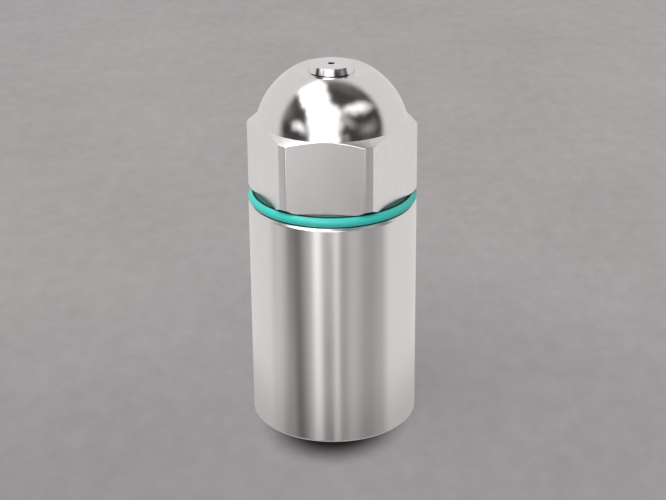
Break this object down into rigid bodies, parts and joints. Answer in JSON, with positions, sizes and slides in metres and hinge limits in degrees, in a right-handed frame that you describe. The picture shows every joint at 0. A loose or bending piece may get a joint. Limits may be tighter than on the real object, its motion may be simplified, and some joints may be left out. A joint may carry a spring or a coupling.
{
  "type": "oil burner nozzle",
  "caption": "Domed hexagon-head oil burner nozzle sealed on a cylindrical holder with inlet thread, screen and spring-loaded shut-off valve.",
  "frame": {"origin": "centre of the holder's bottom face", "axes": "+Z along the nozzle axis, from the oil inlet towards the orifice; two flats of the hexagon face +Y and -Y"},
  "size_m": [0.018, 0.018, 0.04],
  "materials": {
    "polished_stainless": "polished dome over finely brushed hexagon flats",
    "turned_stainless": "satin, fine turned",
    "hardened_steel": "ground and lapped",
    "teal_rubber": "smooth moulded, slight sheen",
    "black_rubber": "smooth moulded, matt",
    "brass": "fine turned",
    "sintered_bronze": "matt, grainy sintered balls",
    "spring_steel": "drawn, lightly oiled",
    "screen_steel": "etched, fine holes",
    "white_ptfe": "matt, waxy"
  },
  "bodies": {
    "holder": {"nozzle_head": "polished_stainless", "orifice_disc": "hardened_steel", "swirl_distributor": "hardened_steel", "lock_screw": "brass", "filter_neck": "brass", "sintered_filter": "sintered_bronze", "seal_ring": "teal_rubber", "holder_sleeve": "turned_stainless", "valve_seat": "brass", "seat_o_ring": "black_rubber", "shutoff_spring": "spring_steel", "spring_guide": "turned_stainless", "guide_bush": "white_ptfe", "preload_shim": "spring_steel", "retaining_ring": "spring_steel", "inlet_screen": "screen_steel", "screen_ring": "spring_steel"},
    "valve_poppet": {"poppet": "brass", "poppet_seal": "black_rubber", "seal_screw": "spring_steel"}
  },
  "joints": [
    {"name": "poppet_lift", "type": "slide", "parent": "holder", "child": "valve_poppet", "axis": [0, 0, 1], "range_m": [0, 0.0012], "stiffness_N_per_m": 300, "deforming": ["shutoff_spring"]}
  ]
}
